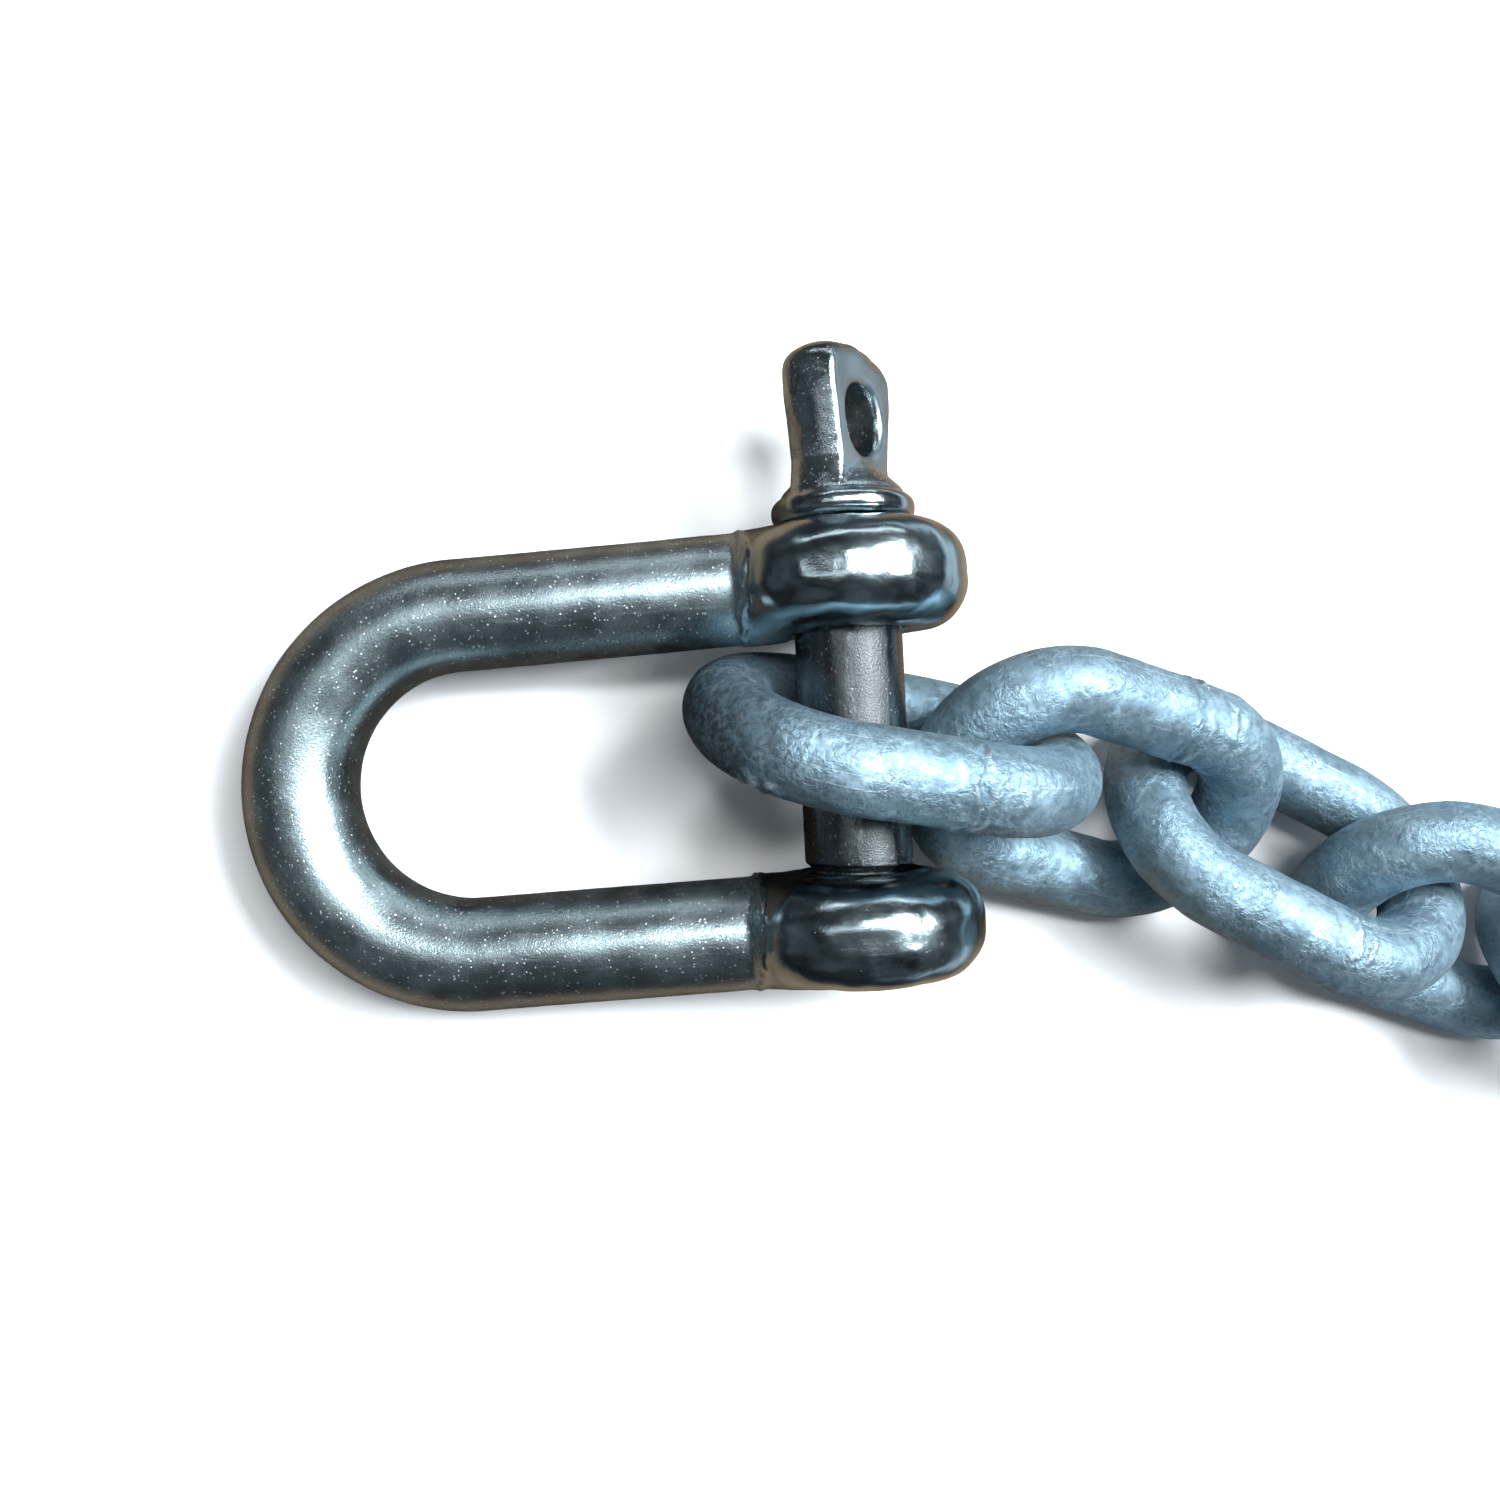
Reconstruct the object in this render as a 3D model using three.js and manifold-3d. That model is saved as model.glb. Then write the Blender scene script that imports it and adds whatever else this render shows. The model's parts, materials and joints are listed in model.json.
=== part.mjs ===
// A screw-pin D shackle on the end of a length of short-link chain, lying on a flat surface.
// Millimetres. Origin: on the surface, under the middle of the shackle pin.
// +Z is up, +Y runs along the pin towards its eye, and the chain leaves towards +X.

import * as THREE from "three";
import { mergeVertices } from "three/addons/utils/BufferGeometryUtils.js";
import Module from "manifold-3d";

const wasm = await Module();
wasm.setup();

// ---------------------------------------------------------------- driving dimensions

// Shackle body: a round bar bent to a D, with a bored ear on each arm.
const barDiameter = 10;
const bowRadius = 15.4; // to the middle of the bar
const bowToPin = 34.8; // bow centre to pin axis, 40.2 inside length
const earSpacing = 31.4; // between the middles of the two ears
const bowOffset = -1.3; // the bow is bent this far off the middle of the ears
const earRadius = 11;
const earThickness = 9.4;
const earRimRadius = 4.0;
const earBoreDiameter = 10.4;
const neckLength = 8; // stretch over which an arm flares to its ear
const neckOverlap = 2; // from the neck's start to the rim of its ear
const neckHeight = 14;

// Screw pin: eye, collar, plain shank and threaded end, forged in one piece.
const pinDiameter = 9.8;
const collarDiameter = 13.1;
const collarThickness = 2.4;
const collarRimRadius = 1.1;
const collarGap = 0.3; // between the collar and its ear
const eyeDiameter = 11.2;
const eyeWaist = 9.8; // diameter at the narrowest place
const eyeDomeRadius = 3;
const eyeThickness = 5.4;
const eyeLength = 13.8; // above the collar
const eyeRoot = 1; // the eye starts this far inside the collar
const eyeHoleDiameter = 6.4;
const eyeHoleHeight = 6.9; // its middle above the collar
const shoulderHeight = 3.6; // the slope from the collar to the flats, above the collar
const eyeTurn = 46; // degrees from +Z to the eye's flat, about the pin
const threadPitch = 1.5;
const threadDepth = 0.7;
const threadTurns = 6;

// Chain: one size of welded link.
const wireDiameter = 8;
const linkInsideLength = 24;
const linkInsideWidth = 11.7;

// How the assembly lies: pin axis height, with the bow resting on the surface.
const pinHeight = 14.2;

// Fineness of the faceted shapes.
const barSides = 20;
const wireSides = 8;
const linkRings = 26; // four times a whole number, plus two

// ---------------------------------------------------------------- materials

function stainlessSteel() {
  return new THREE.MeshStandardMaterial({ color: 0xaeb6bd, roughness: 0.22, metalness: 1 });
}

function galvanisedSteel() {
  return new THREE.MeshStandardMaterial({ color: 0xa3b1bb, roughness: 0.48, metalness: 0.9 });
}

// ---------------------------------------------------------------- solids

// Turns a closed geometry into a solid that can be joined and cut.
function toSolid(geometry) {
  const bare = geometry.clone();
  bare.deleteAttribute("normal");
  bare.deleteAttribute("uv");
  const merged = mergeVertices(bare, 1e-4);
  return new wasm.Manifold(
    new wasm.Mesh({
      numProp: 3,
      vertProperties: new Float32Array(merged.attributes.position.array),
      triVerts: new Uint32Array(merged.index.array),
    }),
  );
}

function toGeometry(solid) {
  const mesh = solid.getMesh();
  const geometry = new THREE.BufferGeometry();
  geometry.setAttribute("position", new THREE.BufferAttribute(mesh.vertProperties, 3));
  geometry.setIndex(new THREE.BufferAttribute(mesh.triVerts, 1));
  geometry.computeVertexNormals();
  return geometry;
}

function join(geometries) {
  return geometries.map(toSolid).reduce((whole, next) => whole.add(next));
}

function circleShape(diameter, sides) {
  const shape = new THREE.Shape();
  for (let i = 0; i < sides; i += 1) {
    const angle = (2 * Math.PI * i) / sides;
    const x = (diameter / 2) * Math.cos(angle);
    const y = (diameter / 2) * Math.sin(angle);
    if (i === 0) {
      shape.moveTo(x, y);
    } else {
      shape.lineTo(x, y);
    }
  }
  shape.closePath();
  return shape;
}

// Points of a quarter-circle-like arc from one angle to another, in degrees.
function arcPoints(centreX, centreY, radius, from, to, steps) {
  const points = [];
  for (let i = 0; i <= steps; i += 1) {
    const angle = THREE.MathUtils.degToRad(from + ((to - from) * i) / steps);
    points.push(new THREE.Vector2(centreX + radius * Math.cos(angle), centreY + radius * Math.sin(angle)));
  }
  return points;
}

// ---------------------------------------------------------------- shackle body

// Centre line of the bar, from one ear round the bow to the other, in the plane z = 0.
class ShackleCurve extends THREE.Curve {
  constructor() {
    super();
    this.armLength = bowToPin - 1;
    this.bowLength = Math.PI * bowRadius;
    this.total = 2 * this.armLength + this.bowLength;
  }

  // An arm leaves the bow and runs straight to its ear.
  armPoint(side, along) {
    const share = along / this.armLength;
    const atBow = bowOffset + side * bowRadius;
    const atEar = (side * earSpacing) / 2;
    return [-bowToPin + along, THREE.MathUtils.lerp(atBow, atEar, share)];
  }

  getPoint(t, target = new THREE.Vector3()) {
    const along = t * this.total;
    let point;
    if (along < this.armLength) {
      point = this.armPoint(1, this.armLength - along);
    } else if (along > this.armLength + this.bowLength) {
      point = this.armPoint(-1, along - this.armLength - this.bowLength);
    } else {
      const angle = Math.PI / 2 + (along - this.armLength) / bowRadius;
      point = [-bowToPin + bowRadius * Math.cos(angle), bowOffset + bowRadius * Math.sin(angle)];
    }
    return target.set(point[0], point[1], 0);
  }
}

function bentBar() {
  const path = new ShackleCurve();
  return new THREE.ExtrudeGeometry(circleShape(barDiameter, barSides), { steps: 40, extrudePath: path });
}

// The ear is a thick disc about the pin axis with a well rounded rim.
function ear(side) {
  const half = earThickness / 2;
  const rimCentre = earRadius - earRimRadius;
  const profile = [
    new THREE.Vector2(0, -half),
    ...arcPoints(rimCentre, earRimRadius - half, earRimRadius, -90, 0, 5),
    ...arcPoints(rimCentre, half - earRimRadius, earRimRadius, 0, 90, 5),
    new THREE.Vector2(0, half),
  ];
  return new THREE.LatheGeometry(profile, 32).translate(0, (side * earSpacing) / 2, 0);
}

// Short transition from the round arm to the taller ear, along the line of the arm.
function neck(side) {
  const geometry = new THREE.CylinderGeometry(barDiameter / 2, barDiameter / 2, neckLength, barSides, 4);
  geometry.rotateZ(-Math.PI / 2);
  const position = geometry.attributes.position;
  for (let i = 0; i < position.count; i += 1) {
    const share = THREE.MathUtils.smoothstep(position.getX(i), -neckLength / 2, neckLength / 2);
    const tall = THREE.MathUtils.lerp(1, neckHeight / barDiameter, share);
    const wide = THREE.MathUtils.lerp(1, (earThickness - 0.2) / barDiameter, share);
    position.setXYZ(i, position.getX(i), position.getY(i) * wide, position.getZ(i) * tall);
  }
  const middle = -earRadius - neckOverlap + neckLength / 2;
  const [x, y] = new ShackleCurve().armPoint(side, bowToPin + middle);
  return geometry.translate(x, y, 0);
}

function earBore() {
  const length = earSpacing + 2 * earThickness;
  return new THREE.CylinderGeometry(earBoreDiameter / 2, earBoreDiameter / 2, length, 32);
}

function shackleBody() {
  const sides = [1, -1];
  const blank = join([bentBar(), ...sides.map(ear), ...sides.map(neck)]);
  const bored = blank.subtract(toSolid(earBore()));
  const mesh = new THREE.Mesh(toGeometry(bored), stainlessSteel());
  mesh.name = "shackle_body";
  return mesh;
}

// ---------------------------------------------------------------- screw pin

const headEarFace = earSpacing / 2 + earThickness / 2;
const threadEarFace = -headEarFace;
const collarBase = headEarFace + collarGap;
const collarTop = collarBase + collarThickness;
const eyeTop = collarTop + eyeLength;

// Profile of the threaded end, drawn as rings of the thread's depth and pitch.
function threadProfile() {
  const crest = pinDiameter / 2;
  const root = crest - threadDepth;
  const points = [new THREE.Vector2(0, threadEarFace), new THREE.Vector2(root, threadEarFace)];
  for (let turn = 0; turn < threadTurns; turn += 1) {
    const start = threadEarFace + threadPitch * (turn + 0.3);
    points.push(new THREE.Vector2(root, start));
    points.push(new THREE.Vector2(crest, start + 0.35 * threadPitch));
    points.push(new THREE.Vector2(crest, start + 0.55 * threadPitch));
    points.push(new THREE.Vector2(root, start + 0.9 * threadPitch));
  }
  const shankStart = threadEarFace + threadPitch * (threadTurns + 0.5);
  points.push(new THREE.Vector2(root, shankStart));
  points.push(new THREE.Vector2(crest, shankStart + threadDepth));
  return points;
}

// Threaded end, shank and collar, turned about the pin axis.
function turnedPin() {
  const rim = collarRimRadius;
  const rimCentre = collarDiameter / 2 - rim;
  const profile = [
    ...threadProfile(),
    new THREE.Vector2(pinDiameter / 2, collarBase),
    ...arcPoints(rimCentre, collarBase + rim, rim, -90, 0, 4),
    ...arcPoints(rimCentre, collarTop - rim, rim, 0, 90, 4),
    new THREE.Vector2(0, collarTop),
  ];
  return new THREE.LatheGeometry(profile, 24);
}

// The eye starts as a domed barrel that narrows to a waist and flares to the collar.
function eyeBarrel() {
  const barrel = eyeDiameter / 2;
  const waist = eyeWaist / 2;
  const profile = [
    new THREE.Vector2(0, collarTop - eyeRoot),
    new THREE.Vector2(barrel, collarTop - eyeRoot),
    new THREE.Vector2(barrel, collarTop),
    new THREE.Vector2(waist, collarTop + 0.2 * eyeLength),
    new THREE.Vector2((waist + barrel) / 2, collarTop + 0.45 * eyeLength),
    ...arcPoints(barrel - eyeDomeRadius, eyeTop - eyeDomeRadius, eyeDomeRadius, 0, 90, 5),
    new THREE.Vector2(0, eyeTop),
  ];
  return new THREE.LatheGeometry(profile, 32);
}

// Two flats bound the eye, and a cone leaves a sloping shoulder under each.
function eyeSlab() {
  const flatsHeight = eyeLength + 2 * eyeRoot;
  const flats = new THREE.BoxGeometry(2 * eyeDiameter, flatsHeight, eyeThickness);
  flats.translate(0, collarTop - eyeRoot + flatsHeight / 2, 0);
  const coneHeight = shoulderHeight + eyeRoot;
  const coneBase = collarDiameter / 2 - collarRimRadius / 2;
  const shoulder = new THREE.CylinderGeometry(eyeThickness / 2, coneBase, coneHeight, 32);
  shoulder.translate(0, collarTop - eyeRoot + coneHeight / 2, 0);
  return join([flats, shoulder]);
}

function eyeHole() {
  const hole = new THREE.CylinderGeometry(eyeHoleDiameter / 2, eyeHoleDiameter / 2, 2 * eyeDiameter, 24);
  hole.rotateX(Math.PI / 2);
  return hole.translate(0, collarTop + eyeHoleHeight, 0);
}

function screwPin() {
  const eye = toSolid(eyeBarrel()).intersect(eyeSlab()).subtract(toSolid(eyeHole()));
  const mesh = new THREE.Mesh(toGeometry(toSolid(turnedPin()).add(eye)), stainlessSteel());
  mesh.name = "screw_pin";
  return mesh;
}

// ---------------------------------------------------------------- chain

const crownRadius = (linkInsideWidth + wireDiameter) / 2;
const halfStraight = (linkInsideLength + wireDiameter) / 2 - crownRadius;
const halfLink = crownRadius + halfStraight; // link centre to the middle of a crown's wire

// A ring stretched along X, so that two round crowns are joined by straight sides.
function linkGeometry() {
  const ringRadius = crownRadius / Math.cos(Math.PI / linkRings);
  const geometry = new THREE.TorusGeometry(ringRadius, wireDiameter / 2, wireSides, linkRings);
  const position = geometry.attributes.position;
  const shrink = crownRadius / ringRadius;
  for (let i = 0; i < position.count; i += 1) {
    const x = position.getX(i) * shrink;
    position.setX(i, x + Math.sign(x) * halfStraight);
  }
  return toGeometry(toSolid(geometry));
}

// How each of the first links lies: its middle, and its heading, pitch and roll in degrees.
const nearShackle = [
  { at: [4.0, 0.9, 13.8], heading: -10.6, pitch: -5.5, roll: 110.5 },
  { at: [25.1, -4.8, 11.1], heading: -16.6, pitch: -11.0, roll: 35.0 },
  { at: [45.8, -11.2, 10.4], heading: -29.5, pitch: 7.0, roll: 145.8 },
];

// The other links lie level, lean one way and the other in turn, and curve to the left.
const linkCount = 18;
const turnPerLink = 8; // degrees
const restLean = 45; // degrees
const crownSlack = 0.6; // between the crowns of neighbouring links

function nextLay(previous, index) {
  const heading = previous.heading + turnPerLink;
  const roll = index % 2 === 1 ? restLean : 180 - restLean;
  const before = THREE.MathUtils.degToRad(previous.heading);
  const between = THREE.MathUtils.degToRad((previous.heading + heading) / 2);
  const after = THREE.MathUtils.degToRad(heading);
  const overlap = wireDiameter + crownSlack;
  const reach = halfLink * Math.cos(THREE.MathUtils.degToRad(previous.pitch));
  const x = previous.at[0] + reach * Math.cos(before) - overlap * Math.cos(between);
  const y = previous.at[1] + reach * Math.sin(before) - overlap * Math.sin(between);
  const z = crownRadius * Math.sin(THREE.MathUtils.degToRad(restLean)) + wireDiameter / 2;
  const at = [x + halfLink * Math.cos(after), y + halfLink * Math.sin(after), z];
  return { at, heading, pitch: 0, roll };
}

function chainLay() {
  const lay = [...nearShackle];
  for (let index = nearShackle.length; index < linkCount; index += 1) {
    lay.push(nextLay(lay[index - 1], index));
  }
  return lay;
}

function chainLink(lay, index) {
  const mesh = new THREE.Mesh(linkGeometry(), galvanisedSteel());
  mesh.name = `chain_link_${String(index + 1).padStart(2, "0")}`;
  mesh.position.set(...lay.at);
  const [roll, pitch, heading] = [lay.roll, lay.pitch, lay.heading].map(THREE.MathUtils.degToRad);
  mesh.rotation.set(roll, -pitch, heading, "ZYX");
  return mesh;
}

// ---------------------------------------------------------------- assembly

const part = new THREE.Group();

// The shackle leans down from the pin until its bow touches the surface.
const shackle = new THREE.Group();
const bowDrop = pinHeight - barDiameter / 2;
shackle.position.set(0, 0, pinHeight);
shackle.rotation.y = -Math.asin(bowDrop / (bowToPin + bowRadius));
shackle.add(shackleBody());
part.add(shackle);

const pin = screwPin();
pin.position.set(0, 0, pinHeight);
pin.rotation.y = THREE.MathUtils.degToRad(eyeTurn);
part.add(pin);

chainLay().forEach((lay, index) => part.add(chainLink(lay, index)));

export default part;
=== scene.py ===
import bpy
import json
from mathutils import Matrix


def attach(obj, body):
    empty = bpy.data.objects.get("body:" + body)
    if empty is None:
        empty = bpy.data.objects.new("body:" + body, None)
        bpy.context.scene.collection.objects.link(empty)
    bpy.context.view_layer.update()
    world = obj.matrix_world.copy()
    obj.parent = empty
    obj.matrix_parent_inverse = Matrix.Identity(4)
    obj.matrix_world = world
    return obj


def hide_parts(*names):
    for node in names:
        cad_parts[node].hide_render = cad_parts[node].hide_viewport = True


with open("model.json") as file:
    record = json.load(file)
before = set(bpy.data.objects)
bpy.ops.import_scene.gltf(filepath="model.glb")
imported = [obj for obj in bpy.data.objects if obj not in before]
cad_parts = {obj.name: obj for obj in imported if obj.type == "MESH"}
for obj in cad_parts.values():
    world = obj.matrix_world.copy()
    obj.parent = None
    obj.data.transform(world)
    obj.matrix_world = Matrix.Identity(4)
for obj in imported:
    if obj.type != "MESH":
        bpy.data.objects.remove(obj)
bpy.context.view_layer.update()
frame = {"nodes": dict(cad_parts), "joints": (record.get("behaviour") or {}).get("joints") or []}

# A polished screw-pin D shackle on a galvanised short-link chain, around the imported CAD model.
# Shapes are worked out in millimetres and turned to metres when their mesh is made.

import itertools
import json
import math

import bpy
import numpy as np
from mathutils import Euler, Matrix, Vector

MM = 0.001

# ---------------------------------------------------------------- dimensions, as in the CAD

BAR_RADIUS = 5.0
BOW_RADIUS = 15.4
BOW_TO_PIN = 34.8
BOW_OFFSET = -1.3
EAR_MIDDLE = 15.7
EAR_RADIUS = 11.0
EAR_HALF = 4.7
EAR_RIM = 4.0
EAR_BORE = 5.2
LIP_RADIUS = 5.75
LIP_THICKNESS = 0.38
CREASE = -9.4
NECK_START = -9.2
NECK_END = -4.5
NECK_TALL = 1.68
NECK_WIDE = 0.92

SHANK_RADIUS = 4.9
THREAD_PITCH = 1.5
THREAD_DEPTH = 0.7
THREAD_END = -20.4
THREAD_START = -10.7
TAPPED_DEPTH = 0.12
LEAD_IN = 0.9
COLLAR_RADIUS = 6.55
COLLAR_BASE = 20.7
COLLAR_TOP = 23.1
COLLAR_RIM = 1.1
EYE_TOP = 37.2
EYE_HALF = 2.7
EYE_RADIUS = 5.95
EYE_WAIST = 5.2
EYE_DOME = 2.3
EYE_HOLE = 3.2
EYE_HOLE_MIDDLE = 30.0
EYE_TURN = 46.0
STRIP_MIDDLE = 6.0
STRIP_HALF = 20.0

WIRE_RADIUS = 4.0
CROWN_RADIUS = 9.85
HALF_STRAIGHT = 6.15

# The spacing of the grids, coarser while working.
BODY_CELL = 0.25
PIN_CELL = 0.16
LINK_RINGS = 200
LINK_SIDES = 54
NEAR_LINKS = 3

# ---------------------------------------------------------------- noise and shaping


def smooth_noise(points, size, seed):
    """Noise from -1 to 1 that changes smoothly over about the given size."""
    scaled = points / size + np.array([17.3, 41.9, 5.7]) * (seed + 1)
    cell = np.floor(scaled).astype(np.int64)
    part = scaled - cell
    part = part * part * (3 - 2 * part)
    total = np.zeros(len(points))
    for corner in itertools.product((0, 1), repeat=3):
        x, y, z = (cell + np.array(corner)).T
        key = (x * 73856093) ^ (y * 19349663) ^ (z * 83492791) ^ (seed * 668265263)
        key = (key ^ (key >> 13)) * 1274126177
        value = ((key ^ (key >> 16)) & 0xFFFF) / 32767.5 - 1
        weight = np.prod(np.where(corner, part, 1 - part), axis=1)
        total += weight * value
    return total


def layered_noise(points, layers):
    """A sum of smooth noises, each given by its height, size and seed."""
    return sum(height * smooth_noise(points, size, seed) for height, size, seed in layers)


def smooth_step(value, low, high):
    """Rises smoothly from 0 at low to 1 at high."""
    share = np.clip((value - low) / (high - low), 0, 1)
    return share * share * (3 - 2 * share)


def bump(value, width):
    """One at zero, falling off smoothly over the given width on both sides."""
    return np.exp(-((value / width) ** 2))


def union(a, b, fillet):
    """Distance to both shapes together, with a fillet where they meet."""
    blend = np.maximum(fillet - np.abs(a - b), 0) / fillet
    return np.minimum(a, b) - blend * blend * fillet / 4


def common(a, b, fillet):
    """Distance to what the shapes share, with the edge between them rounded off."""
    return -union(-a, -b, fillet)


def rounded_corner(a, b, radius):
    """Distance to what lies inside both a and b, with the corner between them rounded."""
    a, b = a + radius, b + radius
    corner = np.hypot(np.maximum(a, 0), np.maximum(b, 0))
    return corner + np.minimum(np.maximum(a, b), 0) - radius


# ---------------------------------------------------------------- meshes from distance functions


def surface_net(plain, relief, low, high, cell):
    """Points and quads of the surface where plain(points) - relief(points) is zero.

    The relief is low, so it is only worked out close to the plain surface.
    """
    axes = [np.arange(low[i], high[i] + cell, cell) for i in range(3)]
    grid = np.stack(np.meshgrid(*axes, indexing="ij"), -1)
    flat_grid = grid.reshape(-1, 3)
    value = plain(flat_grid)
    close = np.abs(value) < 3 * cell + 0.3
    value[close] -= relief(flat_grid[close])
    value = value.reshape(grid.shape[:3])
    cells = [n - 1 for n in value.shape]
    place = np.zeros((*cells, 3))
    count = np.zeros(cells)
    crossings = []
    for axis in range(3):
        others = [i for i in range(3) if i != axis]
        near = np.take(value, range(cells[axis]), axis)
        far = np.take(value, range(1, cells[axis] + 1), axis)
        crosses = (near < 0) != (far < 0)
        share = np.where(crosses, near / np.where(crosses, near - far, 1), 0)
        crossings.append((crosses, near < 0))
        for offset in itertools.product((0, 1), repeat=2):
            window = [slice(None)] * 3
            for other, step in zip(others, offset):
                window[other] = slice(step, step + cells[other])
            window = tuple(window)
            count += crosses[window]
            place[..., axis] += share[window]
            for other, step in zip(others, offset):
                place[..., other] += crosses[window] * step
    active = count > 0
    number = np.full(cells, -1)
    number[active] = np.arange(active.sum())
    points = np.argwhere(active) + place[active] / count[active][:, None]
    points = points * cell + np.array(low)
    quads = []
    for axis in range(3):
        crosses, inside_first = crossings[axis]
        start = np.argwhere(crosses)
        second, third = np.eye(3, dtype=int)[(axis + 1) % 3], np.eye(3, dtype=int)[(axis + 2) % 3]
        ring = [start - second - third, start - third, start, start - second]
        corners = np.stack([number[tuple(c.T)] for c in ring], 1)
        outward = inside_first[tuple(start.T)]
        quads.append(np.where(outward[:, None], corners, corners[:, ::-1]))
    for _ in range(3):
        points = pull_to_surface(points, lambda p: plain(p) - relief(p), cell)
    return points, np.concatenate(quads)


def pull_to_surface(points, distance, reach):
    """Moves points along the gradient until they lie on the surface."""
    step = 0.02
    here = distance(points)
    slope = np.stack([(distance(points + step * e) - here) / step for e in np.eye(3)], 1)
    size = np.maximum((slope**2).sum(1), 0.1)
    move = np.clip(here / size, -reach, reach)
    return points - slope * move[:, None]


def make_piece(name, points, faces, matrix, attributes, material):
    """A smooth-shaded mesh in the row frame, from points in millimetres in its own axes."""
    turned = points @ np.array(matrix.to_3x3()).T * MM + np.array(matrix.translation)
    mesh = bpy.data.meshes.new(name)
    mesh.from_pydata(turned.tolist(), [], faces.tolist())
    mesh.shade_smooth()
    for key, values in attributes.items():
        if values.ndim == 2:
            layer = mesh.attributes.new(key, "FLOAT_VECTOR", "POINT")
            layer.data.foreach_set("vector", values.astype(np.float32).ravel())
        else:
            layer = mesh.attributes.new(key, "FLOAT", "POINT")
            layer.data.foreach_set("value", values.astype(np.float32))
    mesh.materials.append(material)
    piece = bpy.data.objects.new(name, mesh)
    bpy.context.scene.collection.objects.link(piece)
    return piece


# ---------------------------------------------------------------- material helpers


class Recipe:
    """The node tree of a material or a world, with short calls for the nodes it uses."""

    def __init__(self, owner):
        owner.use_nodes = True
        self.owner = owner
        self.tree = owner.node_tree
        self.shader = next(n for n in self.tree.nodes if n.type in ("BSDF_PRINCIPLED", "BACKGROUND"))

    def node(self, kind, inputs=None, **settings):
        made = self.tree.nodes.new(kind)
        for key, value in settings.items():
            setattr(made, key, value)
        for key, value in (inputs or {}).items():
            self.feed(made.inputs[key], value)
        return made

    def feed(self, socket, value):
        if isinstance(value, bpy.types.NodeSocket):
            self.tree.links.new(value, socket)
        else:
            socket.default_value = value

    def noise(self, where, scale, detail=3.0, rough=0.5, distortion=0.0):
        inputs = {"Vector": where, "Scale": scale, "Detail": detail, "Roughness": rough}
        inputs["Distortion"] = distortion
        return self.node("ShaderNodeTexNoise", inputs).outputs["Fac"]

    def cells(self, where, scale, output="Distance"):
        return self.node("ShaderNodeTexVoronoi", {"Vector": where, "Scale": scale}).outputs[output]

    def attribute(self, name, output="Fac"):
        return self.node("ShaderNodeAttribute", attribute_name=name).outputs[output]

    def stretch(self, where, scale):
        inputs = {0: where, 1: scale}
        return self.node("ShaderNodeVectorMath", inputs, operation="MULTIPLY").outputs[0]

    def ramp(self, value, low, high, start=0.0, end=1.0):
        inputs = {"Value": value, "From Min": low, "From Max": high}
        inputs.update({"To Min": start, "To Max": end})
        return self.node("ShaderNodeMapRange", inputs, interpolation_type="SMOOTHSTEP").outputs[0]

    def math(self, operation, a, b=0.0):
        return self.node("ShaderNodeMath", {0: a, 1: b}, operation=operation).outputs[0]

    def mix(self, factor, a, b):
        made = self.node("ShaderNodeMix", data_type="RGBA")
        self.feed(made.inputs["Factor"], factor)
        self.feed(made.inputs[6], a)
        self.feed(made.inputs[7], b)
        return made.outputs[2]

    def relief(self, height, depth, normal=None):
        """Bump whose full height is the given depth in millimetres."""
        inputs = {"Height": height, "Distance": depth * MM, "Strength": 1.0}
        if normal is not None:
            inputs["Normal"] = normal
        return self.node("ShaderNodeBump", inputs).outputs[0]

    def finish(self, **inputs):
        for key, value in inputs.items():
            self.feed(self.shader.inputs[key.replace("_", " ")], value)
        return self.owner


def opaque(red, green, blue):
    """A colour with nothing seen through it."""
    return (red, green, blue, 1.0)


# ---------------------------------------------------------------- materials

BODY_TINT = (0.36, 0.455, 0.485)
PIN_TINT = (0.41, 0.495, 0.53)
BODY_PITS = 0.014
PIN_PITS = 0.018
ZINC_RELIEF = 0.20


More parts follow.
